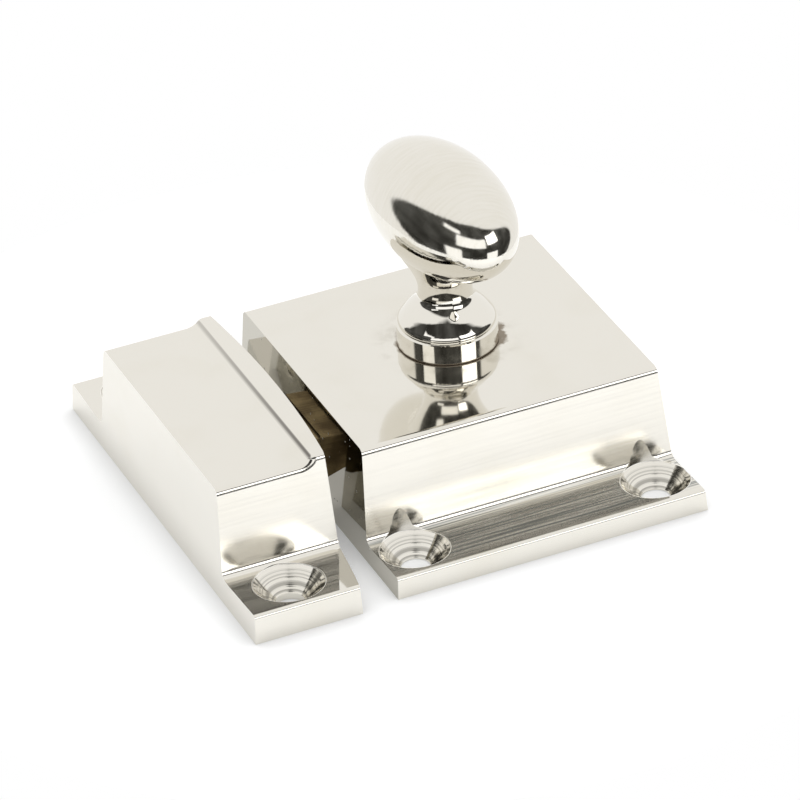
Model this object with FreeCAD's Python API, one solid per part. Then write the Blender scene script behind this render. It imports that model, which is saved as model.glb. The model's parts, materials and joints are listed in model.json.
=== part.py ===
import FreeCAD, Part
import math
import os

from FreeCAD import Vector

# Surface-mounted cupboard catch: a case with a spring bolt and an egg-shaped turn knob, and a keep
# with a curved striking lip. Millimetres. z = 0 is the plane both pieces are screwed to, +Z points
# away from it, +X runs from the keep to the case (against the bolt's throw), y = 0 is the middle.

# Keep casting
keep_length = 60.2
keep_end_width = 14.2
keep_bulge = 2.8
keep_height = 15.2
keep_flange_length = 10.3
keep_flange_thickness = 3.95
keep_flange_dip = 0.45
keep_end_draft = 6.5
keep_left_draft = 2.9
keep_right_draft = 3.1
keep_wall = 2.4
keep_top_wall = 2.9
keep_hole_from_end = 5.4
keep_hole_from_left = 6.9
keep_rim_radius = 4.5

# Striking lip along the keep's edge
lip_rise = 1.0
lip_cove_start = 11.7
lip_cove_width = 2.0

# Window in the keep under the lip, around the bolt
window_side_clearance = 1.1
window_top_clearance = 0.3

# Gap between the keep and the case at the base, at mid length
piece_gap = 2.15

# Case casting
case_width = 42.0
case_length = 58.8
case_height = 15.2
case_flange_length = 9.5
case_flange_thickness = 2.95
case_flange_dip = 0.35
case_end_draft = 5.7
case_left_draft = 2.75
case_right_draft = 4.9
case_left_wall = 2.9
case_right_wall = 3.4
case_end_wall = 2.3
case_top_wall = 2.6
case_hole_from_end = 5.45
case_hole_from_left = 4.8
case_hole_from_right = 4.5
case_rim_radius = 4.4

# Rounding shared by both castings
tip_radius = 0.5
scoop_share = 0.8
scoop_radius = 10.0
cove_radius = 1.1
top_edge_radius = 0.9

# Countersunk fixing holes
screw_hole_radius = 1.85
countersink_angle = 45.0
least_bore_depth = 0.2
cutter_height = 9.0

# Knob: an egg on a flared neck, a bulb and a collar, with the shank that enters the case
egg_half_length = 13.8
egg_radius = 7.82
egg_turn = 5.2
egg_height = 18.75
collar_radius = 6.4
collar_height = 2.8
bulb_radius = 6.2
bulb_foot_radius = 6.1
neck_radius = 3.45
neck_height = 7.2
flare_radius = 6.3
flare_height = 14.6
shank_radius = 3.25
shank_clearance = 0.05
collar_clearance = 0.05
square_side = 4.6
square_clearance = 0.05

# Bearing boss inside the case, and the cam on the shank's squared end
boss_radius = 6.0
boss_depth = 2.5
hub_radius = 4.5
hub_end_play = 0.1
cam_base_radius = 5.73
cam_start_roll = 0.6
cam_turn = 50.0
cam_overrun = 4.0
cam_thickness = 3.0
cam_back_radius = 3.9
cam_tip_width = 2.2
cam_clearance = 0.03
cam_running_gap = 0.3

# Screw and washer that hold the cam
cam_screw_radius = 1.45
cam_screw_clearance = 0.05
cam_screw_length = 5.4
cam_screw_head_radius = 2.9
cam_screw_head_height = 1.7
cam_washer_radius = 4.0
cam_washer_thickness = 0.8
driver_slot_width = 0.8
driver_slot_depth = 0.8
screw_bevel_share = 0.35

# Bolt
bolt_width = 17.0
bolt_nose_width = 11.5
bolt_thickness = 5.8
bolt_throw = 7.0
bolt_nose_tip = 3.2
bolt_bevel_length = 6.2
bolt_slot_clearance = 0.1
bolt_top_clearance = 0.4
bolt_rail_thickness = 2.3
bolt_ear_width = 20.0
bolt_ear_length = 2.8
bolt_stop_clearance = 0.05
bolt_nose_clearance = 0.6
bolt_end_length = 3.3
bolt_edge_radius = 0.35
hub_slot_clearance = 0.3

# Bolt spring, the stub it sits on, and the block it pushes against
spring_radius = 2.3
spring_wire_radius = 0.16
spring_wire_sides = 6
spring_turns = 5.5
spring_points_per_turn = 8
spring_stub_clearance = 0.2
spring_stub_length = 3.4
spring_block_depth = 1.2
spring_block_width = 9.0
spring_block_drop = 9.6

# Strap across the back that keeps the bolt in its slot, and its two screws
strap_width = 6.5
strap_thickness = 1.2
strap_clearance = 0.05
strap_gap_to_wall = 0.4
strap_pad_clearance = 0.12
strap_screw_inset = 2.6
strap_end_gap = 0.6
strap_screw_radius = 1.2
strap_screw_clearance = 0.05
strap_screw_length = 5.0
strap_screw_head_radius = 2.2
strap_screw_head_height = 1.2


def slope(degrees):
    """Sideways run for each millimetre of height, for a draft in degrees."""
    return math.tan(math.radians(degrees))


# Places that follow from the sizes above
overall_width = keep_end_width + keep_bulge + piece_gap + case_width
keep_left = -overall_width / 2
keep_right = keep_left + keep_end_width + keep_bulge
case_left = keep_right + piece_gap
case_right = case_left + case_width
case_top_left = case_left + slope(case_left_draft) * case_height
case_top_right = case_right - slope(case_right_draft) * case_height
knob_x = (case_top_left + case_top_right) / 2

case_inner_left = case_left + case_left_wall
case_inner_right = case_right - case_right_wall
case_ceiling = case_height - case_top_wall
boss_bottom = case_ceiling - boss_depth
hub_top = boss_bottom - hub_end_play

rail_top = boss_bottom - cam_running_gap
rail_bottom = rail_top - bolt_rail_thickness
cam_top = rail_bottom - cam_running_gap
cam_bottom = cam_top - cam_thickness
washer_bottom = cam_bottom - cam_washer_thickness

bolt_top = rail_top
bolt_bottom = bolt_top - bolt_thickness
bolt_travel = cam_base_radius * math.radians(cam_turn)
bolt_tip = case_left - bolt_throw
bolt_push_x = knob_x + cam_base_radius * cam_start_roll + cam_clearance
bolt_end_x = bolt_push_x + bolt_end_length
cam_tip_roll = cam_start_roll + math.radians(cam_turn + cam_overrun)
cam_reach = cam_base_radius * math.sqrt(1 + cam_tip_roll**2) + cam_tip_width / 2
nose_back_x = knob_x - cam_reach * math.sin(math.radians(cam_turn)) - bolt_travel - bolt_nose_clearance

spring_stop_x = case_inner_right - spring_block_depth
spring_z = (bolt_bottom + rail_top) / 2
strap_top = bolt_bottom - strap_clearance
strap_left = case_inner_left + strap_gap_to_wall
pad_inner_y = bolt_ear_width / 2 + strap_pad_clearance
case_wall_y = case_length / 2 - case_flange_length
case_inner_y = case_wall_y - case_end_wall
strap_half_length = case_inner_y - strap_end_gap
strap_screw_y = strap_half_length - strap_screw_inset


def box(x0, x1, y0, y1, z0, z1):
    """Block between two corners."""
    return Part.makeBox(x1 - x0, y1 - y0, z1 - z0, Vector(x0, y0, z0))


def cylinder(radius, x, y, z0, z1):
    """Upright cylinder from z0 to z1."""
    return Part.makeCylinder(radius, z1 - z0, Vector(x, y, z0))


def rounded_wire(corners):
    """Closed wire through corners of (point, radius), each corner rounded by a tangent arc."""
    edges = []
    count = len(corners)
    starts = []
    ends = []
    arcs = []
    for i, (point, radius) in enumerate(corners):
        before = corners[i - 1][0]
        after = corners[(i + 1) % count][0]
        to_before = (before - point).normalize()
        to_after = (after - point).normalize()
        half = to_before.getAngle(to_after) / 2
        if radius <= 0 or abs(half - math.pi / 2) < 1e-6:
            starts.append(point)
            ends.append(point)
            arcs.append(None)
            continue
        reach = radius / math.tan(half)
        middle_direction = (to_before + to_after).normalize()
        middle = point + middle_direction * (radius / math.sin(half) - radius)
        starts.append(point + to_before * reach)
        ends.append(point + to_after * reach)
        arcs.append(middle)
    for i in range(count):
        if arcs[i] is not None:
            edges.append(Part.Arc(starts[i], arcs[i], ends[i]).toShape())
        edges.append(Part.makeLine(ends[i], starts[(i + 1) % count]))
    return Part.Wire(edges)


def end_to_end_body(length, flange_length, flange_thickness, flange_dip, height, draft, x0, x1):
    """Casting seen from its side: scooped flanges, coves and leaning end walls, run along X."""
    tip = length / 2
    wall = tip - flange_length
    valley_y = tip - scoop_share * flange_length
    valley_z = flange_thickness - flange_dip
    wall_top = wall - slope(draft) * (height - valley_z)
    half = [
        (tip, 0.0, 0.0),
        (tip - 0.1, flange_thickness, tip_radius),
        (valley_y, valley_z, scoop_radius),
        (wall, valley_z, cove_radius),
        (wall_top, height, top_edge_radius),
    ]
    corners = [(Vector(x0, y, z), radius) for y, z, radius in half]
    corners += [(Vector(x0, -y, z), radius) for y, z, radius in reversed(half)]
    return Part.Face(rounded_wire(corners)).extrude(Vector(x1 - x0, 0, 0))


def side_prism(left, right, left_draft, right_draft, length, height):
    """Leaning side walls: a trapezoid seen from the end, run along Y."""
    corners = [
        Vector(left, -length, 0),
        Vector(right, -length, 0),
        Vector(right - slope(right_draft) * height, -length, height),
        Vector(left + slope(left_draft) * height, -length, height),
    ]
    return Part.Face(Part.makePolygon(corners + corners[:1])).extrude(Vector(0, 2 * length, 0))


def screw_hole(x, y, rim_radius, surface):
    """Cutter for one fixing hole: bore, countersink, and the cutter's body above it."""
    rim_depth = (rim_radius - screw_hole_radius) / math.tan(math.radians(countersink_angle))
    start = max(surface - rim_depth, least_bore_depth)
    bore = cylinder(screw_hole_radius, x, y, -1, start + 0.1)
    cone = Part.makeCone(screw_hole_radius, rim_radius, rim_depth, Vector(x, y, start))
    body = cylinder(rim_radius, x, y, start + rim_depth, start + rim_depth + cutter_height)
    return bore.fuse([cone, body])


def hollow(wall_y, height, draft, ceiling, x0, x1):
    """Inside of a casting, open at the back, with end walls that lean like the outer ones."""
    top_y = wall_y - slope(draft) * ceiling
    corners = [
        Vector(x0, -wall_y, -1),
        Vector(x0, wall_y, -1),
        Vector(x0, wall_y, 0),
        Vector(x0, top_y, ceiling),
        Vector(x0, -top_y, ceiling),
        Vector(x0, -wall_y, 0),
    ]
    return Part.Face(Part.makePolygon(corners + corners[:1])).extrude(Vector(x1 - x0, 0, 0))


def make_keep():
    """Keep casting with its striking lip, bolt window, flanges and two holes."""
    crest = keep_height + lip_rise
    body = end_to_end_body(
        keep_length, keep_flange_length, keep_flange_thickness, keep_flange_dip,
        crest, keep_end_draft, keep_left - 1, keep_right + 1,
    )

    # The left side leans a little, and the side that faces the case is a wide leaning arc.
    far = keep_right + 5
    body = body.common(side_prism(keep_left, far, keep_left_draft, 0, keep_length, crest))
    half = keep_length / 2
    arc_radius = (half**2 + keep_bulge**2) / (2 * keep_bulge)
    arc_top = arc_radius - slope(keep_right_draft) * crest
    arc_centre = Vector(keep_right - arc_radius, 0, 0)
    arc = Part.makeCone(arc_radius, arc_top, crest, arc_centre)
    arc.rotate(arc_centre, Vector(0, 0, 1), 180)
    body = body.common(arc)

    # Flat top, hollowed up into the lip by a cove along its whole length.
    cove_x = keep_left + lip_cove_start
    cove_radius_xz = (lip_cove_width**2 + lip_rise**2) / (2 * lip_rise)
    cove_angle = math.asin(lip_cove_width / cove_radius_xz)
    middle = Vector(
        cove_x + cove_radius_xz * math.sin(cove_angle / 2), -half,
        keep_height + cove_radius_xz * (1 - math.cos(cove_angle / 2)),
    )
    start = Vector(cove_x, -half, keep_height)
    end = Vector(cove_x + lip_cove_width, -half, crest)
    above = crest + 5
    outline = [
        Part.makeLine(Vector(keep_left - 1, -half, keep_height), start),
        Part.Arc(start, middle, end).toShape(),
        Part.makeLine(end, Vector(end.x, -half, above)),
        Part.makeLine(Vector(end.x, -half, above), Vector(keep_left - 1, -half, above)),
        Part.makeLine(Vector(keep_left - 1, -half, above), Vector(keep_left - 1, -half, keep_height)),
    ]
    top_cut = Part.Face(Part.Wire(outline)).extrude(Vector(0, keep_length, 0))
    body = body.cut(top_cut)
    body = round_top_ends(body)

    # Hollow back, and the window that the bolt enters under the lip.
    ceiling = keep_height - keep_top_wall
    wall_y = half - keep_flange_length - keep_wall
    inner_right = keep_left + keep_end_width - keep_wall
    body = body.cut(hollow(wall_y, keep_height, keep_end_draft, ceiling, keep_left + keep_wall, inner_right))
    window_y = bolt_nose_width / 2 + window_side_clearance
    window_top = bolt_top + window_top_clearance
    body = body.cut(box(inner_right - 1, keep_right + 1, -window_y, window_y, -1, window_top))

    flange_low = keep_flange_thickness - keep_flange_dip
    for side in (-1, 1):
        y = side * (half - keep_hole_from_end)
        body = body.cut(screw_hole(keep_left + keep_hole_from_left, y, keep_rim_radius, flange_low))
    return body.removeSplitter()


def round_top_ends(body):
    """Rounds the two ends of the keep's flat top, from its left side into the cove."""
    edges = []
    for edge in body.Edges:
        bounds = edge.BoundBox
        across = bounds.XLength > 1 and bounds.YLength < 0.4
        on_top = abs(bounds.ZMin - keep_height) < 1e-4 and bounds.ZMax < keep_height + lip_rise + 1e-4
        if across and on_top:
            edges.append(edge)
    return body.makeFillet(top_edge_radius, edges)


def make_case():
    """Case casting with flanges, four holes, bolt slot, knob bore and the seats inside."""
    body = end_to_end_body(
        case_length, case_flange_length, case_flange_thickness, case_flange_dip,
        case_height, case_end_draft, case_left - 1, case_right + 1,
    )
    sides = side_prism(
        case_left, case_right, case_left_draft, case_right_draft, case_length, case_height,
    )
    body = body.common(sides)

    # Hollow back with a bearing boss, two strap pads and the spring's block left standing in it.
    inside = hollow(case_inner_y, case_height, case_end_draft, case_ceiling, case_inner_left, case_inner_right)
    boss = cylinder(boss_radius, knob_x, 0, boss_bottom, case_height)
    spring_block = box(
        spring_stop_x, case_right, -spring_block_width / 2, spring_block_width / 2,
        case_ceiling - spring_block_drop, case_height,
    )
    inside = inside.cut([boss, spring_block])
    for side in (-1, 1):
        y0, y1 = sorted((side * pad_inner_y, side * case_length / 2))
        inside = inside.cut(box(case_left, strap_left + strap_width, y0, y1, strap_top, case_height))
    body = body.cut(inside)

    slot_y = bolt_nose_width / 2 + bolt_slot_clearance
    body = body.cut(box(case_left - 1, case_inner_left + 0.01, -slot_y, slot_y, -1, bolt_top + bolt_top_clearance))
    body = body.cut(cylinder(shank_radius + shank_clearance, knob_x, 0, boss_bottom - 1, case_height + 1))
    flange_low = case_flange_thickness - case_flange_dip
    for side in (-1, 1):
        depth = strap_top + strap_screw_length - strap_thickness
        hole = cylinder(strap_screw_radius + strap_screw_clearance, strap_screw_x(), side * strap_screw_y, 0, depth)
        body = body.cut(hole)
        y = side * (case_length / 2 - case_hole_from_end)
        for x in (case_left + case_hole_from_left, case_right - case_hole_from_right):
            body = body.cut(screw_hole(x, y, case_rim_radius, flange_low))
    return body.removeSplitter()


def strap_screw_x():
    """Middle of the strap's width."""
    return strap_left + strap_width / 2


def make_knob():
    """Egg on its turned stem, with the shank below the collar squared for the cam."""
    base = case_height + collar_clearance
    axis = Vector(knob_x, 0, 0)

    # Turned stem, drawn as radius against height and spun about the axis.
    def at(radius, height):
        return Vector(knob_x + radius, 0, height)

    bulb_z = base + collar_height
    outline = [
        Part.makeLine(at(0, hub_top), at(shank_radius, hub_top)),
        Part.makeLine(at(shank_radius, hub_top), at(shank_radius, base)),
        Part.makeLine(at(shank_radius, base), at(collar_radius, base)),
        Part.makeLine(at(collar_radius, base), at(collar_radius, bulb_z - 0.15)),
        Part.makeLine(at(collar_radius, bulb_z - 0.15), at(bulb_foot_radius, bulb_z)),
    ]
    bulb = Part.BSplineCurve()
    bulb_rise = neck_height - collar_height
    bulb_drop = bulb_radius - neck_radius
    bulb_points = [at(bulb_foot_radius, bulb_z)]
    for rise, drop in ((0.1, 0), (0.3, 0.18), (0.5, 0.44), (0.72, 0.78), (0.88, 0.96), (1, 1)):
        bulb_points.append(at(bulb_radius - bulb_drop * drop, bulb_z + bulb_rise * rise))
    bulb_points.append(at(neck_radius + 0.35, base + neck_height + 2.4))
    bulb_points.append(at(flare_radius, base + flare_height))
    bulb.interpolate(bulb_points)
    outline.append(bulb.toShape())
    outline.append(Part.makeLine(at(flare_radius, base + flare_height), at(0, base + flare_height)))
    outline.append(Part.makeLine(at(0, base + flare_height), at(0, hub_top)))
    stem = Part.Face(Part.Wire(outline)).revolve(axis, Vector(0, 0, 1), 360)

    # Egg: a ball stretched along its long axis, then turned a little as the knob sits.
    stretch = FreeCAD.Matrix()
    stretch.scale(egg_radius, egg_radius, egg_half_length)
    centre = Vector(0, 0, 0)
    egg = Part.makeSphere(1.0).transformGeometry(stretch)
    egg.rotate(centre, Vector(1, 0, 0), 90)
    egg.rotate(centre, Vector(0, 0, 1), egg_turn)
    egg.translate(Vector(knob_x, 0, base + egg_height))

    square = box(
        knob_x - square_side / 2, knob_x + square_side / 2, -square_side / 2, square_side / 2, cam_bottom, hub_top,
    )
    knob = stem.fuse([egg, square])
    thread = cylinder(
        cam_screw_radius + cam_screw_clearance, knob_x, 0, cam_bottom - 1, washer_bottom + cam_screw_length + 0.5,
    )
    return knob.cut(thread).removeSplitter()


def involute_point(roll, side):
    """Point of the cam's working flank, seen with the cam at rest."""
    turned = -(roll - cam_start_roll)
    along = cam_base_radius * roll
    across = -cam_base_radius
    x = along * math.cos(turned) - across * math.sin(turned)
    y = along * math.sin(turned) + across * math.cos(turned)
    return Vector(knob_x + x, -side * y, cam_bottom)


def cam_lobe(side):
    """One lobe: an involute flank, so that the bolt moves evenly with the knob, and a straight back."""
    steps = 6
    first = cam_start_roll / 2
    rolls = [first + (cam_tip_roll - first) * i / steps for i in range(steps + 1)]
    points = [involute_point(roll, side) for roll in rolls]
    flank = Part.BSplineCurve()
    flank.interpolate(points)
    tip = points[-1]
    axis = Vector(knob_x, 0, cam_bottom)
    inward = Vector(-cam_tip_width, 0, 0)
    back = Vector(knob_x - cam_back_radius, side * hub_radius / 3, cam_bottom)
    edges = [
        flank.toShape(),
        Part.makeLine(tip, tip + inward),
        Part.makeLine(tip + inward, back),
        Part.makeLine(back, axis),
        Part.makeLine(axis, points[0]),
    ]
    return Part.Face(Part.Wire(edges)).extrude(Vector(0, 0, cam_thickness))


def make_cam():
    """Hub that bears on the case's boss, two lobes, and a square hole for the shank."""
    hub = cylinder(hub_radius, knob_x, 0, cam_bottom, hub_top)
    cam = hub.fuse([cam_lobe(-1), cam_lobe(1)])
    half = square_side / 2 + square_clearance
    hole = box(knob_x - half, knob_x + half, -half, half, cam_bottom - 1, hub_top + 1)
    return cam.cut(hole).removeSplitter()


def make_washer():
    """Flat washer under the cam."""
    ring = cylinder(cam_washer_radius, knob_x, 0, washer_bottom, cam_bottom)
    return ring.cut(cylinder(cam_screw_radius + 0.2, knob_x, 0, washer_bottom - 1, cam_bottom + 1))


def slotted_screw(x, y, seat_z, radius, length, head_radius, head_height):
    """Slotted screw with a bevelled head that lies below seat_z and a shank that points up."""
    head = cylinder(head_radius, x, y, seat_z - head_height, seat_z)
    rim = [edge for edge in head.Edges if abs(edge.BoundBox.ZMax - (seat_z - head_height)) < 1e-6]
    head = head.makeChamfer(head_height * screw_bevel_share, rim)
    slot = box(
        x - driver_slot_width / 2, x + driver_slot_width / 2, y - head_radius - 1, y + head_radius + 1,
        seat_z - head_height - 1, seat_z - head_height + driver_slot_depth,
    )
    return head.cut(slot).fuse(cylinder(radius, x, y, seat_z, seat_z + length)).removeSplitter()


def make_cam_screw():
    """Screw up into the shank."""
    return slotted_screw(
        knob_x, 0, washer_bottom, cam_screw_radius, cam_screw_length,
        cam_screw_head_radius, cam_screw_head_height,
    )


def make_bolt():
    """Nose with its sloping underside, two rails round the hub, and the block that the cam pushes."""
    half = bolt_width / 2
    nose_side = -bolt_nose_width / 2
    nose_profile = [
        Vector(bolt_tip, nose_side, bolt_top),
        Vector(bolt_tip, nose_side, bolt_top - bolt_nose_tip),
        Vector(bolt_tip + bolt_bevel_length, nose_side, bolt_bottom),
        Vector(nose_back_x, nose_side, bolt_bottom),
        Vector(nose_back_x, nose_side, bolt_top),
    ]
    nose = Part.Face(Part.makePolygon(nose_profile + nose_profile[:1])).extrude(Vector(0, bolt_nose_width, 0))
    tip_edges = []
    for edge in nose.Edges:
        if edge.BoundBox.XMax < bolt_tip + bolt_bevel_length + 0.01 and edge.BoundBox.YLength > bolt_nose_width - 0.01:
            tip_edges.append(edge)
    nose = nose.makeFillet(bolt_edge_radius, tip_edges)

    ear_x = case_inner_left + bolt_stop_clearance
    ears = box(ear_x, ear_x + bolt_ear_length, -bolt_ear_width / 2, bolt_ear_width / 2, rail_bottom, rail_top)
    plate = box(ear_x, bolt_end_x, -half, half, rail_bottom, rail_top)
    end_block = box(bolt_push_x, bolt_end_x, -half, half, bolt_bottom, rail_top)
    stub_radius = spring_radius - spring_wire_radius - spring_stub_clearance
    stub = Part.makeCylinder(stub_radius, spring_stub_length, Vector(bolt_end_x, 0, spring_z), Vector(1, 0, 0))
    bolt = nose.fuse([ears, plate, end_block, stub])

    # Slot that the hub stands in: the bolt slides along it, and the cam's lobes reach past its sides.
    slot_half = hub_radius + hub_slot_clearance
    slot_start = knob_x - bolt_travel
    slot = box(slot_start, knob_x, -slot_half, slot_half, bolt_bottom - 1, rail_top + 1)
    rounded_ends = [
        cylinder(slot_half, x, 0, bolt_bottom - 1, rail_top + 1) for x in (slot_start, knob_x)
    ]
    slot = slot.fuse(rounded_ends)
    behind_nose = box(nose_back_x, bolt_end_x + 1, -bolt_width, bolt_width, bolt_bottom - 1, rail_top + 1)
    return bolt.cut(slot.common(behind_nose)).removeSplitter()


def make_spring():
    """Coil of six-sided wire between the bolt's end and the block in the case."""
    length = spring_stop_x - bolt_end_x - 2 * spring_wire_radius
    steps = int(spring_turns * spring_points_per_turn)
    points = []
    for i in range(steps + 1):
        angle = 2 * math.pi * i / spring_points_per_turn
        along = bolt_end_x + spring_wire_radius + length * i / steps
        points.append(Vector(along, spring_radius * math.cos(angle), spring_z + spring_radius * math.sin(angle)))
    path = Part.BSplineCurve()
    path.interpolate(points)

    # The wire's section stands square to the start of the coil.
    forward = path.tangent(path.FirstParameter)[0]
    across = forward.cross(Vector(0, 1, 0)).normalize()
    outward = across.cross(forward).normalize()
    section = []
    for i in range(spring_wire_sides):
        angle = 2 * math.pi * i / spring_wire_sides
        offset = outward * math.cos(angle) + across * math.sin(angle)
        section.append(points[0] + offset * spring_wire_radius)
    wire_outline = Part.makePolygon(section + section[:1])
    return Part.Wire(path.toShape()).makePipeShell([wire_outline], True, True)


def make_strap():
    """Flat strap with rounded corners, screwed to the two pads beside the bolt."""
    strap = box(
        strap_left, strap_left + strap_width, -strap_half_length, strap_half_length,
        strap_top - strap_thickness, strap_top,
    )
    corners = [edge for edge in strap.Edges if edge.BoundBox.ZLength > strap_thickness - 0.01]
    strap = strap.makeFillet(strap_width * 0.3, corners)
    for side in (-1, 1):
        strap = strap.cut(
            cylinder(strap_screw_radius + 0.15, strap_screw_x(), side * strap_screw_y, 0, strap_top + 1)
        )
    return strap


def make_strap_screws():
    """Two screws up through the strap into the pads."""
    screws = [
        slotted_screw(
            strap_screw_x(), side * strap_screw_y, strap_top - strap_thickness, strap_screw_radius,
            strap_screw_length, strap_screw_head_radius, strap_screw_head_height,
        )
        for side in (-1, 1)
    ]
    return Part.makeCompound(screws)


pieces = {
    "keep": make_keep,
    "case": make_case,
    "knob": make_knob,
    "cam": make_cam,
    "cam_washer": make_washer,
    "cam_screw": make_cam_screw,
    "bolt": make_bolt,
    "bolt_spring": make_spring,
    "bolt_strap": make_strap,
    "strap_screws": make_strap_screws,
}

os.makedirs("parts", exist_ok=True)
for name, make in pieces.items():
    shape = make()
    shape.exportStep(f"parts/{name}.step")
    size = shape.BoundBox
    print(name, shape.isValid(), len(shape.Solids), round(shape.Volume, 1),
          [round(v, 2) for v in (size.XMin, size.XMax, size.YMin, size.YMax, size.ZMin, size.ZMax)])
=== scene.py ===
import json
import math

import bpy
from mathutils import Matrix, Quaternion, Vector

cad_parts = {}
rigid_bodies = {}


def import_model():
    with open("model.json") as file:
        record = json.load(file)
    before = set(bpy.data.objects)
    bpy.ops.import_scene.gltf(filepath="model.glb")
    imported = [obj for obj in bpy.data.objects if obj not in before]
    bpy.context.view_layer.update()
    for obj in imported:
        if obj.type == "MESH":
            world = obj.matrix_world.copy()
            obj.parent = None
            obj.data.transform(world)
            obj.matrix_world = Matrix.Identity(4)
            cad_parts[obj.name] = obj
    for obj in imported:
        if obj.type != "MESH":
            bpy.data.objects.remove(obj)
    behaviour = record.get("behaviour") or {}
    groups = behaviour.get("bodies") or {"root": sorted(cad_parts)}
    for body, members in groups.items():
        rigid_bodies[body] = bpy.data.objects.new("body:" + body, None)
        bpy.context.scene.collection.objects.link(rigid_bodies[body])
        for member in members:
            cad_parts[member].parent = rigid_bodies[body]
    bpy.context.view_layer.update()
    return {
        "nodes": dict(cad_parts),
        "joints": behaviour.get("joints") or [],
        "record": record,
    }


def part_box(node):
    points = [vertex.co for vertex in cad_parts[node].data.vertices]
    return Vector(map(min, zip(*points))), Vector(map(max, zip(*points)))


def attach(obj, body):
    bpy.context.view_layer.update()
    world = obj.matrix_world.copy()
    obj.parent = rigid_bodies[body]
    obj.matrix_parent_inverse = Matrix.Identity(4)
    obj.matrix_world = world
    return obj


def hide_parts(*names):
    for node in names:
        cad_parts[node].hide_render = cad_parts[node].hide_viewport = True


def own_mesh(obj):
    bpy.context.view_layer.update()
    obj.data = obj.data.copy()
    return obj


# Studio picture of a cupboard catch: materials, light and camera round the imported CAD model.
# Lengths are metres in the CAD model's frame, and angles are degrees.
# A pair of numbers is the range over which a mask fades in or out.

MM = 0.001
X, Y, Z = range(3)

# Camera, at the photograph's viewing angle
camera_aim = Vector((0.07, -5.56, 12.0)) * MM
camera_distance = 779.1 * MM
camera_azimuth = -22.316
camera_elevation = 32.244
camera_roll = -3.265
camera_lens = 282.48
camera_clip_start = 8.0 * MM
camera_clip_end = 15000.0 * MM

# White tent round the object, open towards a dark room on the camera's side
tent_colour = (1.0, 0.995, 0.985)
room_colour = (0.03, 0.029, 0.026)
room_glow_colour = (0.11, 0.11, 0.105)
room_half_width = 112.0
room_half_height = 56.0
room_corner_power = 1.6
room_rise_per_degree = -0.03
room_edge = (0.95, 1.03)
room_patch_size = 0.5
room_patch_range = (0.35, 0.75)

# Light panels in the room, with the azimuth from the camera and the elevation of their middles
window_level = 1.25
lamp_level = 2.6
panel_edge = 3.0
panels = [
    {"azimuth": -8.0, "elevation": 16.0, "half_width": 33.0, "half_height": 13.0, "level": window_level},
    {"azimuth": -47.0, "elevation": 33.0, "half_width": 15.0, "half_height": 5.0, "level": window_level},
    {"azimuth": -44.0, "elevation": -19.0, "half_width": 13.0, "half_height": 16.0, "level": window_level},
    {"azimuth": 40.0, "elevation": -24.0, "half_width": 18.0, "half_height": 15.0, "level": window_level},
    {"azimuth": 46.0, "elevation": 23.0, "half_width": 19.0, "half_height": 12.5, "level": lamp_level},
]

# White table top, which glows a little more towards its front
floor_radius = 75.0 * MM
floor_corners = 128
floor_drop = 0.02 * MM
floor_colour = (0.78, 0.78, 0.78)
floor_glow_colour = (0.97, 0.985, 1.0)
floor_glow = 0.48
floor_front_glow = 0.2
floor_front_start = -25.0 * MM
floor_front_end = -60.0 * MM
floor_shade_reach = 3.5 * MM

# Colours of the metals and of what is on them
nickel_colour = (0.805, 0.780, 0.718)
nickel_shade = (0.770, 0.740, 0.662)
brass_colour = (0.40, 0.31, 0.17)
brass_shade = (0.18, 0.13, 0.07)
steel_colour = (0.56, 0.56, 0.55)
steel_shade = (0.42, 0.41, 0.40)
residue_colour = (0.13, 0.08, 0.03)
haze_colour = (0.60, 0.57, 0.50)
dust_colour = (0.85, 0.84, 0.80)
# Painted dark reflection laid on the case flange's brush streaks
flange_painted_reflection_colour = (0.20, 0.215, 0.21)
# Painted highlight along the countersinks' rims
rim_painted_highlight_colour = (0.95, 0.93, 0.88)
ring_colour = (0.30, 0.29, 0.26)
# Painted shade for the narrow gap between the castings
gap_painted_shade_colour = (0.42, 0.40, 0.34)
# Painted dark reflection in the cove of the keep's lip
cove_painted_reflection_colour = (0.10, 0.09, 0.08)

# How fine the noise in the finishes is
smooth_detail = 2.0
plain_detail = 3.0
crumbled_detail = 4.0

# Places on the castings, with the width over which a finish fades at them
flange_top = 5.8 * MM
flange_fade = 0.6 * MM
top_start = 14.6 * MM
top_fade = 0.3 * MM
lip_start = 15.25 * MM
lip_fade = 0.1 * MM
gap_left = -17.0 * MM
gap_right = -7.0 * MM
gap_fade = 1.0 * MM
streaks_end = 28.5 * MM
streaks_fade = 1.5 * MM
casting_half_length = 29.0 * MM
case_rim_radius = 4.4 * MM
keep_rim_radius = 4.5 * MM
rim_width = 0.1 * MM

# How far a surface of the castings has to face up, down or sideways for a finish, 1 being straight on
flange_facing = (0.5, 0.8)
top_facing = (0.9, 0.98)
end_wall_facing = (0.7, 0.9)
underside_facing = (0.2, 0.6)
cone_facing = (0.2, 0.5)
cone_too_flat = (0.85, 0.93)
rim_facing = (0.3, 0.6)
gap_wall_facing = (0.85, 0.95)
cove_facing = (0.52, 0.68)

# Marks in the castings' plate: brush lines, streaks, swirls, clouds, turning rings and casting grit
relief_depth = 0.012 * MM
brush_spacing = 0.3 * MM
brush_length = 14.0 * MM
brush_relief = 0.25
streak_spacing = 0.3 * MM
streak_length = 24.0 * MM
streak_relief = 0.9
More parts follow.
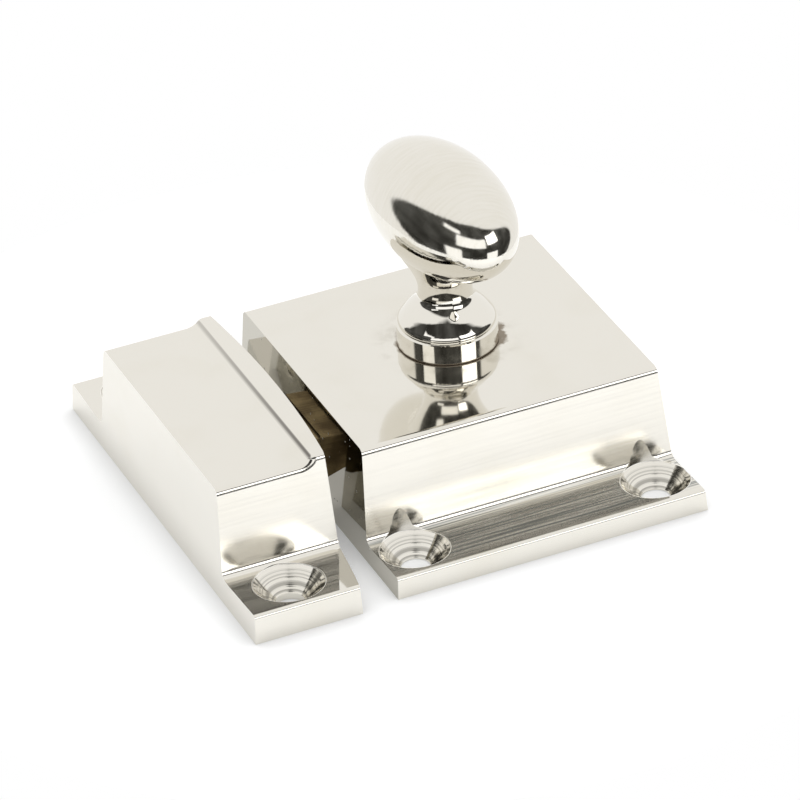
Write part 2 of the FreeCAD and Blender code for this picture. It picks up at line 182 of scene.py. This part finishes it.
# Where the flange's streaks take their painted dark reflection, and how much
streak_range = (0.4, 0.65)
flange_painted_reflection_share = 0.85
swirl_centre_x = 9.0 * MM
swirl_centre_y = -14.0 * MM
swirl_spacing = 1.1 * MM
swirl_relief = 0.06
cloud_size = 9.0 * MM
cloud_relief = 0.5
cloud_range = (0.45, 0.75)
cloud_share = 0.5
ring_pitch = 0.5 * MM
ring_relief = 1.5
ring_range = (0.46, 0.6)
ring_share = 0.75
grit_size = 0.5 * MM
grit_relief = 3.0
# Share of the painted shade on the walls in the gap
gap_painted_shade_share = 0.8
# Share of the painted dark reflection in the lip's cove at the back, and what is added towards the front
cove_reflection_back_share = 0.3
cove_reflection_front_gain = 0.65

# Roughness of the castings' plate, and what each mark adds to it
plate_roughness = 0.035
cloud_roughness = 0.03
end_wall_roughness = 0.03
brush_roughness = 0.2
streak_roughness = 0.16
swirl_roughness = 0.03
cone_roughness = 0.03
rim_roughness = 0.25
underside_roughness = 0.3
residue_roughness = 0.3
haze_roughness = 0.12
dust_roughness = 0.6

# Residue and haze round the knob's collar, and dust in the gap
collar_radius = 6.4 * MM
residue_start = -0.4 * MM
residue_full = -0.1 * MM
residue_width = 0.6 * MM
residue_ragged_size = 1.2 * MM
residue_ragged_gain = 1.6
residue_burr_gain = 2.4
residue_share = 0.75
burr_start = 4.2 * MM
haze_reach = 10.5 * MM
haze_patch_size = 3.5 * MM
haze_patch_range = (0.42, 0.68)
haze_share = 0.8
dust_spacing = 1.8 * MM
dust_speck_range = (0.05, 0.1)

# Knob's plate: a stained foot, a turned stem and a brushed egg
collar_foot = 15.25 * MM
stain_full = 0.1 * MM
stain_end = 0.28 * MM
stain_share = 0.8
stain_roughness = 0.35
egg_range = (31.0 * MM, 35.0 * MM)
stroke_spacing = 0.3 * MM
stroke_length = 3.0 * MM
stroke_relief = 0.2
stroke_range = (0.35, 0.7)
stroke_share = 0.6
stroke_roughness = 0.12
turned_spacing = 0.3 * MM
turned_length = 9.0 * MM
turned_relief = 0.03
knob_cloud_size = 7.0 * MM
knob_cloud_relief = 0.35
knob_cloud_share = 0.4
knob_roughness = 0.02

# Bare brass, filed along its length
file_spacing = 0.25 * MM
file_length = 9.0 * MM
file_relief = 0.6
file_share = 0.3
file_roughness = 0.25
brass_cloud_size = 3.0 * MM
brass_cloud_relief = 0.6
brass_cloud_range = (0.45, 0.85)
brass_cloud_roughness = 0.15
brass_roughness = 0.2

# Plain steel, with turning or drawing marks
steel_relief_depth = 0.008 * MM
steel_mark_spacing = 0.12 * MM
steel_mark_length = 0.8 * MM
steel_mark_relief = 0.5
steel_mark_roughness = 0.2
steel_cloud_size = 2.0 * MM
steel_cloud_relief = 0.4
steel_cloud_range = (0.35, 0.75)
steel_cloud_roughness = 0.1
steel_roughness = 0.22

# Coil that stands for the plain CAD spring
coil_wire_radius = 0.16 * MM
coil_turns = 7.5
coil_closed_turns = 1.0
coil_steps_per_turn = 40
coil_sides = 10

for leftover in list(bpy.data.objects):
    bpy.data.objects.remove(leftover)

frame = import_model()
nodes = frame["nodes"]
joints = {joint["name"]: joint for joint in frame["joints"]}
mounts = {mount["name"]: mount for mount in frame["record"]["mounts"]}
knob_axis = Vector(joints["knob_turn"]["pos_m"])


class Graph:
    """Short calls that add and join the nodes of one material or world."""

    def __init__(self, tree):
        self.tree = tree
        tree.nodes.clear()

    def feed(self, socket, value):
        """Joins another node's output to a socket, or sets a plain value on it."""
        if isinstance(value, bpy.types.NodeSocket):
            self.tree.links.new(value, socket)
        else:
            socket.default_value = value

    def node(self, kind, inputs=None, **settings):
        """New node with its settings, and with its inputs set or joined."""
        made = self.tree.nodes.new(kind)
        for name, value in settings.items():
            setattr(made, name, value)
        for key, value in (inputs or {}).items():
            self.feed(made.inputs[key], value)
        return made

    def math(self, operation, *values):
        """Result of a calculation with one or two values."""
        return self.node("ShaderNodeMath", dict(enumerate(values)), operation=operation).outputs[0]

    def scaled(self, vector, factors):
        """Vector with each of its parts multiplied by a factor."""
        inputs = {0: vector, 1: factors}
        return self.node("ShaderNodeVectorMath", inputs, operation="MULTIPLY").outputs["Vector"]

    def distance(self, start, end):
        """Distance between two points."""
        inputs = {0: start, 1: end}
        return self.node("ShaderNodeVectorMath", inputs, operation="DISTANCE").outputs["Value"]

    def parts(self, vector):
        """X, Y and Z of a vector."""
        return self.node("ShaderNodeSeparateXYZ", {"Vector": vector}).outputs

    def size_of(self, value):
        """Value without its sign."""
        return self.math("ABSOLUTE", value)

    def minus(self, value, taken):
        """Difference of two values."""
        return self.math("SUBTRACT", value, taken)

    def times(self, *values):
        """Product of all values."""
        product = values[0]
        for value in values[1:]:
            product = self.math("MULTIPLY", product, value)
        return product

    def plus(self, *values):
        """Sum of all values."""
        total = values[0]
        for value in values[1:]:
            total = self.math("ADD", total, value)
        return total

    def rise(self, value, start, end):
        """0 up to start, 1 from end on, smooth between them."""
        inputs = {"Value": value, "From Min": start, "From Max": end}
        return self.node("ShaderNodeMapRange", inputs, interpolation_type="SMOOTHSTEP").outputs[0]

    def fall(self, value, start, end):
        """1 up to start, 0 from end on, smooth between them."""
        inputs = {"Value": value, "From Min": start, "From Max": end, "To Min": 1.0, "To Max": 0.0}
        return self.node("ShaderNodeMapRange", inputs, interpolation_type="SMOOTHSTEP").outputs[0]

    def mix(self, share, low, high):
        """Colour that goes from low to high with share."""
        made = self.node("ShaderNodeMix", data_type="RGBA")
        self.feed(made.inputs["Factor"], share)
        self.feed(made.inputs["A"], low if isinstance(low, bpy.types.NodeSocket) else (*low, 1.0))
        self.feed(made.inputs["B"], high if isinstance(high, bpy.types.NodeSocket) else (*high, 1.0))
        return made.outputs["Result"]

    def noise(self, position, size, detail):
        """Noise whose patches have about the given size along each axis."""
        stretched = self.scaled(position, tuple(1.0 / length for length in size))
        inputs = {"Vector": stretched, "Scale": 1.0, "Detail": detail}
        return self.node("ShaderNodeTexNoise", inputs).outputs[0]

    def wavering(self, length, spacing):
        """Uneven ups and downs along one length, about spacing apart."""
        inputs = {"W": length, "Scale": 1.0 / spacing, "Detail": smooth_detail}
        return self.node("ShaderNodeTexNoise", inputs, noise_dimensions="1D").outputs[0]

    def bump(self, height, depth):
        """Shading relief of the given depth where height goes from 0 to 1."""
        inputs = {"Height": height, "Strength": 1.0, "Distance": depth}
        return self.node("ShaderNodeBump", inputs).outputs[0]


class Metal(Graph):
    """A metal with its surface shader, and the places on the object that its finish depends on."""

    def __init__(self, name):
        self.material = bpy.data.materials.new(name)
        self.material.use_nodes = True
        super().__init__(self.material.node_tree)
        self.surface = self.node("ShaderNodeBsdfPrincipled", {"Metallic": 1.0})
        self.node("ShaderNodeOutputMaterial", {"Surface": self.surface.outputs[0]})
        place = self.node("ShaderNodeTexCoord")
        self.position = place.outputs["Object"]
        self.x, self.y, self.z = self.parts(self.position)
        self.nx, self.ny, self.nz = self.parts(place.outputs["Normal"])

    def finish(self, colour, roughness, normal):
        """Feeds the surface shader and gives the finished material."""
        self.feed(self.surface.inputs["Base Color"], colour)
        self.feed(self.surface.inputs["Roughness"], roughness)
        self.feed(self.surface.inputs["Normal"], normal)
        return self.material

    def patches(self, size, detail):
        """Noise of one size in all directions."""
        return self.noise(self.position, (size, size, size), detail)

    def lines(self, along, spacing, length):
        """Brush lines that run along one axis."""
        size = [spacing, spacing, spacing]
        size[along] = length
        return self.noise(self.position, size, plain_detail)

    def layers(self, across, spacing, length, detail):
        """Marks that lie in thin layers, stacked up along one axis."""
        size = [length, length, length]
        size[across] = spacing
        return self.noise(self.position, size, detail)

    def distance_to_axis(self, x, y):
        """Distance from an upright axis."""
        flat = self.scaled(self.position, (1.0, 1.0, 0.0))
        return self.distance(flat, (x, y, 0.0))


def screw_holes():
    """Axis of each fixing hole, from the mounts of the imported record, with its rim's radius."""
    holes = []
    for name, rim_radius in (("case_screws", case_rim_radius), ("keep_screws", keep_rim_radius)):
        x, y, _ = mounts[name]["pos_m"]
        half_x = mounts[name]["dims"].get("spacing_x_mm", 0.0) * MM / 2
        half_y = mounts[name]["dims"]["spacing_y_mm"] * MM / 2
        for side_x in sorted({-half_x, half_x}):
            for side_y in (-half_y, half_y):
                holes.append((x + side_x, y + side_y, rim_radius))
    return holes


def casting_nickel():
    """Polished plate of the two castings: brushed walls, streaked flanges, ringed countersinks, with painted
    light: dark reflections on the case's flange and in the keep's lip cove, highlights on the countersinks'
    rims and shade in the gap.
    """
    m = Metal("casting_nickel")

    # Faces of the castings
    flange = m.times(m.fall(m.z, flange_top - flange_fade, flange_top), m.rise(m.nz, *flange_facing))
    top = m.times(m.rise(m.z, top_start, top_start + top_fade), m.rise(m.nz, *top_facing))
    end_wall = m.rise(m.size_of(m.ny), *end_wall_facing)
    underside = m.rise(m.times(m.nz, -1.0), *underside_facing)
    right_of_gap_left = m.rise(m.x, gap_left - gap_fade, gap_left)
    left_of_gap_right = m.fall(m.x, gap_right, gap_right + gap_fade)
    gap_wall = m.times(right_of_gap_left, left_of_gap_right, m.rise(m.size_of(m.nx), *gap_wall_facing))
    lip = m.rise(m.z, lip_start, lip_start + lip_fade)
    cove = m.times(lip, m.rise(m.times(m.nx, -1.0), *cove_facing))

    # Countersinks
    from_rim = None
    for x, y, rim_radius in screw_holes():
        beyond = m.minus(m.distance_to_axis(x, y), rim_radius)
        from_rim = beyond if from_rim is None else m.math("MINIMUM", from_rim, beyond)
    sloping = m.times(m.rise(m.nz, *cone_facing), m.fall(m.nz, *cone_too_flat))
    cone = m.times(m.fall(from_rim, 0.0, rim_width), sloping)
    near_rim = m.fall(m.size_of(from_rim), rim_width / 2, rim_width)
    rim = m.times(near_rim, m.rise(m.nz, *rim_facing))
    rings = m.times(m.wavering(from_rim, ring_pitch), cone)

    # Marks of brushing, polishing and casting
    brush = m.lines(X, brush_spacing, brush_length)
    streaks = m.lines(X, streak_spacing, streak_length)
    on_case = m.rise(m.x, gap_left, gap_right)
    inner = m.fall(m.size_of(m.y), streaks_end - streaks_fade, streaks_end)
    streaked = m.times(flange, on_case, inner, m.rise(from_rim, 0.0, rim_width))
    swirl_radius = m.distance_to_axis(knob_axis.x + swirl_centre_x, knob_axis.y + swirl_centre_y)
    swirl = m.wavering(swirl_radius, swirl_spacing)
    cloud = m.patches(cloud_size, plain_detail)
    grit = m.patches(grit_size, smooth_detail)

    # Residue at the collar's foot, wider on its right side, the haze round it, and dust in the gap
    near_knob = m.distance_to_axis(knob_axis.x, knob_axis.y)
    burr = m.rise(m.minus(m.x, knob_axis.x), burr_start, collar_radius)
    ragged = m.times(m.patches(residue_ragged_size, crumbled_detail), residue_width)
    ragged = m.times(ragged, m.plus(m.times(burr, residue_burr_gain), residue_ragged_gain))
    residue = m.times(
        top,
        m.rise(near_knob, collar_radius + residue_start, collar_radius + residue_full),
        m.fall(m.minus(near_knob, ragged), collar_radius - residue_width, collar_radius),
    )
    haze_patches = m.rise(m.patches(haze_patch_size, crumbled_detail), *haze_patch_range)
    haze = m.times(m.fall(near_knob, collar_radius, haze_reach), top, haze_patches)
    cells = m.node("ShaderNodeTexVoronoi", {"Vector": m.position, "Scale": 1.0 / dust_spacing})
    dust = m.times(m.fall(cells.outputs["Distance"], *dust_speck_range), gap_wall)

    height = m.plus(
        m.times(brush, end_wall, brush_relief),
        m.times(streaks, streaked, streak_relief),
        m.times(swirl, top, swirl_relief),
        m.times(cloud, cloud_relief),
        m.times(rings, ring_relief),
        m.times(grit, underside, grit_relief),
    )
    normal = m.bump(height, relief_depth)

    roughness = m.plus(
        plate_roughness,
        m.times(cloud, cloud_roughness),
        m.times(m.plus(m.times(brush, brush_roughness), end_wall_roughness), end_wall),
        m.times(streaks, streaked, streak_roughness),
        m.times(swirl, top, swirl_roughness),
        m.times(cone, cone_roughness),
        m.times(rim, rim_roughness),
        m.times(underside, underside_roughness),
        m.times(residue, residue_roughness),
        m.times(haze, haze_roughness),
        m.times(dust, dust_roughness),
    )

    # Painted dark reflection in the cove of the keep's lip, darker towards the front
    toward_front = m.fall(m.y, -casting_half_length, casting_half_length)
    cove_painted_reflection_share = m.plus(m.times(toward_front, cove_reflection_front_gain), cove_reflection_back_share)
    colour = m.mix(m.times(m.rise(cloud, *cloud_range), cloud_share), nickel_colour, nickel_shade)
    colour = m.mix(m.times(haze, haze_share), colour, haze_colour)
    # The streaks are brush marks; their dark colour is a painted dark reflection on the case's flange
    colour = m.mix(m.times(streaked, m.rise(streaks, *streak_range), flange_painted_reflection_share), colour, flange_painted_reflection_colour)
    colour = m.mix(m.times(m.rise(rings, *ring_range), ring_share), colour, ring_colour)
    # Painted highlight along the rim of each countersink
    colour = m.mix(rim, colour, rim_painted_highlight_colour)
    # Painted shade on the walls that face each other across the narrow gap
    colour = m.mix(m.times(gap_wall, gap_painted_shade_share), colour, gap_painted_shade_colour)
    colour = m.mix(m.times(cove, cove_painted_reflection_share), colour, cove_painted_reflection_colour)
    colour = m.mix(m.times(residue, residue_share), colour, residue_colour)
    colour = m.mix(dust, colour, dust_colour)

    # Dust is no metal
    m.feed(m.surface.inputs["Metallic"], m.fall(dust, 0.0, 1.0))
    return m.finish(colour, roughness, normal)


def knob_nickel():
    """Polished plate of the knob: turned stem, brush strokes on the egg, residue at the collar's foot."""
    m = Metal("knob_nickel")
    foot = m.fall(m.z, collar_foot + stain_full, collar_foot + stain_end)
    egg = m.rise(m.z, *egg_range)
    strokes = m.layers(Y, stroke_spacing, stroke_length, crumbled_detail)
    turned = m.layers(Z, turned_spacing, turned_length, plain_detail)
    cloud = m.patches(knob_cloud_size, plain_detail)
    height = m.plus(
        m.times(strokes, egg, stroke_relief),
        m.times(cloud, knob_cloud_relief),
        m.times(turned, turned_relief),
    )
    normal = m.bump(height, relief_depth)
    roughness = m.plus(
        knob_roughness,
        m.times(cloud, cloud_roughness),
        m.times(strokes, egg, stroke_roughness),
        m.times(foot, stain_roughness),
    )
    tint = m.times(m.rise(cloud, *cloud_range), knob_cloud_share)
    stroked = m.times(m.rise(strokes, *stroke_range), egg, stroke_share)
    colour = m.mix(m.plus(tint, stroked), nickel_colour, nickel_shade)
    colour = m.mix(m.times(foot, stain_share), colour, residue_colour)
    return m.finish(colour, roughness, normal)


def aged_brass():
    """Bare brass of the bolt, cam and strap: brown where it has dulled, filed along its length."""
    m = Metal("aged_brass")
    filed = m.lines(X, file_spacing, file_length)
    cloud = m.patches(brass_cloud_size, crumbled_detail)
    dulled = m.rise(m.plus(cloud, m.times(filed, file_share)), *brass_cloud_range)
    colour = m.mix(dulled, brass_colour, brass_shade)
    roughness = m.plus(brass_roughness, m.times(filed, file_roughness), m.times(cloud, brass_cloud_roughness))
    height = m.plus(m.times(filed, file_relief), m.times(cloud, brass_cloud_relief))
    return m.finish(colour, roughness, m.bump(height, relief_depth))


def plain_steel(name, across):
    """Plain steel of screws, washer and spring, with fine marks across one axis."""
    m = Metal(name)
    marks = m.layers(across, steel_mark_spacing, steel_mark_length, plain_detail)
    cloud = m.patches(steel_cloud_size, plain_detail)
    colour = m.mix(m.rise(cloud, *steel_cloud_range), steel_colour, steel_shade)
    roughness = m.plus(
        steel_roughness,
        m.times(marks, steel_mark_roughness),
        m.times(cloud, steel_cloud_roughness),
    )
    height = m.plus(m.times(marks, steel_mark_relief), m.times(cloud, steel_cloud_relief))
    return m.finish(colour, roughness, m.bump(height, steel_relief_depth))


def dress(names, material):
    """Gives CAD nodes one material."""
    for name in names:
        slots = nodes[name].data.materials
        slots.clear()
        slots.append(material)


def coil_centre(turn, start, end, radius):
    """Point of the coil's centre line after some turns: closed turns at both ends, open ones between."""
    open_turns = coil_turns - 2 * coil_closed_turns
    closed_rise = 2 * coil_wire_radius
    length = end.x - start.x - 2 * coil_wire_radius
    open_rise = (length - 2 * coil_closed_turns * closed_rise) / open_turns
    along = min(turn, coil_closed_turns) * closed_rise
    along += max(0.0, min(turn - coil_closed_turns, open_turns)) * open_rise
    along += max(0.0, turn - coil_closed_turns - open_turns) * closed_rise
    angle = 2 * math.pi * turn
    middle = (start + end) / 2
    return Vector((
        start.x + coil_wire_radius + along,
        middle.y + radius * math.cos(angle),
        middle.z + radius * math.sin(angle),
    ))


def make_coil(material):
    """Round-wire coil in the place of the CAD spring, fixed to the castings."""
    low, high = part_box("bolt_spring")
    middle = (low + high) / 2
    radius = (high.z - low.z) / 2 - coil_wire_radius
    steps = int(coil_turns * coil_steps_per_turn)
    centres = [coil_centre(coil_turns * i / steps, low, high, radius) for i in range(steps + 1)]
    points = []
    for i, centre in enumerate(centres):
        forward = (centres[min(i + 1, steps)] - centres[max(i - 1, 0)]).normalized()
        outward = Vector((0, centre.y - middle.y, centre.z - middle.z)).normalized()
        across = forward.cross(outward).normalized()
        outward = across.cross(forward)
        for k in range(coil_sides):
            angle = 2 * math.pi * k / coil_sides
            direction = outward * math.cos(angle) + across * math.sin(angle)
            points.append(centre + direction * coil_wire_radius)
    faces = [tuple(reversed(range(coil_sides)))]
    for i in range(steps):
        for k in range(coil_sides):
            a = i * coil_sides + k
            b = i * coil_sides + (k + 1) % coil_sides
            faces.append((a, b, b + coil_sides, a + coil_sides))
    faces.append(tuple(steps * coil_sides + k for k in range(coil_sides)))
    mesh = bpy.data.meshes.new("bolt_coil")
    mesh.from_pydata(points, [], faces)
    mesh.shade_smooth()
    mesh.materials.append(material)
    coil = bpy.data.objects.new("bolt_coil", mesh)
    bpy.context.scene.collection.objects.link(coil)
    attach(coil, "castings")
    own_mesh(coil)
    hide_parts("bolt_spring")


def make_floor():
    """White table top that keeps the object's shadow; its glow is dimmed near the object as painted shadow
    and is painted brighter towards its front.
    """
    bpy.ops.mesh.primitive_circle_add(
        vertices=floor_corners, radius=floor_radius, fill_type="NGON", location=(0, 0, -floor_drop),
    )
    floor = bpy.context.object
    floor.name = "table_top"
    material = bpy.data.materials.new("table_white")
    material.use_nodes = True
    g = Graph(material.node_tree)
    matt = g.node("ShaderNodeBsdfDiffuse", {"Color": (*floor_colour, 1.0)})
    ray = g.node("ShaderNodeLightPath").outputs
    reflected = g.math("MAXIMUM", ray["Is Glossy Ray"], ray["Is Transmission Ray"])
    seen = g.math("MAXIMUM", ray["Is Camera Ray"], reflected)
    # Painted shadow: the glow is dimmed by ambient occlusion round the object's foot, in its holes and in the
    # gap
    open_sky = g.node("ShaderNodeAmbientOcclusion", {"Distance": floor_shade_reach}).outputs["AO"]
    y = g.parts(g.node("ShaderNodeTexCoord").outputs["Object"])[Y]
    front = g.times(g.fall(y, floor_front_end, floor_front_start), floor_front_glow)
    strength = g.times(seen, open_sky, g.plus(front, floor_glow))
    glow = g.node("ShaderNodeEmission", {"Color": (*floor_glow_colour, 1.0), "Strength": strength})
    both = g.node("ShaderNodeAddShader", {0: matt.outputs[0], 1: glow.outputs[0]})
    g.node("ShaderNodeOutputMaterial", {"Surface": both.outputs[0]})
    floor.data.materials.append(material)


def make_world():
    """White tent, and the dark room with its light panels that shows in polished metal."""
    world = bpy.data.worlds.new("studio")
    bpy.context.scene.world = world
    world.use_nodes = True
    g = Graph(world.node_tree)

    # Azimuth from the camera and elevation of each direction
    direction = g.node("ShaderNodeTexCoord").outputs["Generated"]
    turn = {"Vector": direction, "Angle": -math.radians(camera_azimuth)}
    turned = g.node("ShaderNodeVectorRotate", turn, rotation_type="Z_AXIS").outputs[0]
    x, y, z = g.parts(turned)
    azimuth = g.math("DEGREES", g.math("ARCTAN2", x, g.times(y, -1.0)))
    elevation = g.math("DEGREES", g.math("ARCSINE", z))

    # Dark room with rounded corners, unevenly lit
    off_middle = g.minus(elevation, g.times(azimuth, room_rise_per_degree))
    wide = g.math("POWER", g.size_of(g.times(azimuth, 1 / room_half_width)), room_corner_power)
    high = g.math("POWER", g.size_of(g.times(off_middle, 1 / room_half_height)), room_corner_power)
    room = g.fall(g.plus(wide, high), *room_edge)
    patches = g.noise(turned, (room_patch_size, room_patch_size, room_patch_size), plain_detail)
    uneven = g.rise(patches, *room_patch_range)
    colour = g.mix(room, tent_colour, g.mix(uneven, room_colour, room_glow_colour))

    for panel in panels:
        off_side = g.size_of(g.minus(azimuth, panel["azimuth"]))
        off_level = g.size_of(g.minus(elevation, panel["elevation"]))
        inside = g.times(
            g.fall(off_side, panel["half_width"] - panel_edge, panel["half_width"]),
            g.fall(off_level, panel["half_height"] - panel_edge, panel["half_height"]),
        )
        colour = g.mix(inside, colour, (panel["level"],) * 3)

    # The camera itself sees plain white behind the object
    light = g.node("ShaderNodeBackground", {"Color": colour, "Strength": 1.0})
    white = g.node("ShaderNodeBackground", {"Color": (1.0, 1.0, 1.0, 1.0), "Strength": 1.0})
    ray = g.node("ShaderNodeLightPath").outputs
    inputs = {0: ray["Is Camera Ray"], 1: light.outputs[0], 2: white.outputs[0]}
    choice = g.node("ShaderNodeMixShader", inputs)
    g.node("ShaderNodeOutputWorld", {"Surface": choice.outputs[0]})


def make_camera():
    """Camera at the photograph's angle, turned by its small roll."""
    azimuth = math.radians(camera_azimuth)
    elevation = math.radians(camera_elevation)
    back = Vector((
        math.sin(azimuth) * math.cos(elevation),
        -math.cos(azimuth) * math.cos(elevation),
        math.sin(elevation),
    ))
    data = bpy.data.cameras.new("camera")
    data.lens = camera_lens
    data.clip_start = camera_clip_start
    data.clip_end = camera_clip_end
    camera = bpy.data.objects.new("camera", data)
    camera.rotation_mode = "QUATERNION"
    camera.location = camera_aim + back * camera_distance
    roll = Quaternion((0, 0, 1), math.radians(camera_roll))
    camera.rotation_quaternion = (-back).to_track_quat("-Z", "Y") @ roll
    bpy.context.scene.collection.objects.link(camera)
    bpy.context.scene.camera = camera


dress(["case", "keep"], casting_nickel())
dress(["knob"], knob_nickel())
dress(["bolt", "cam", "bolt_strap"], aged_brass())
dress(["cam_washer", "cam_screw", "strap_screws"], plain_steel("turned_steel", Z))
make_coil(plain_steel("spring_wire", X))
make_floor()
make_world()
make_camera()
bpy.context.scene.view_settings.view_transform = "Standard"
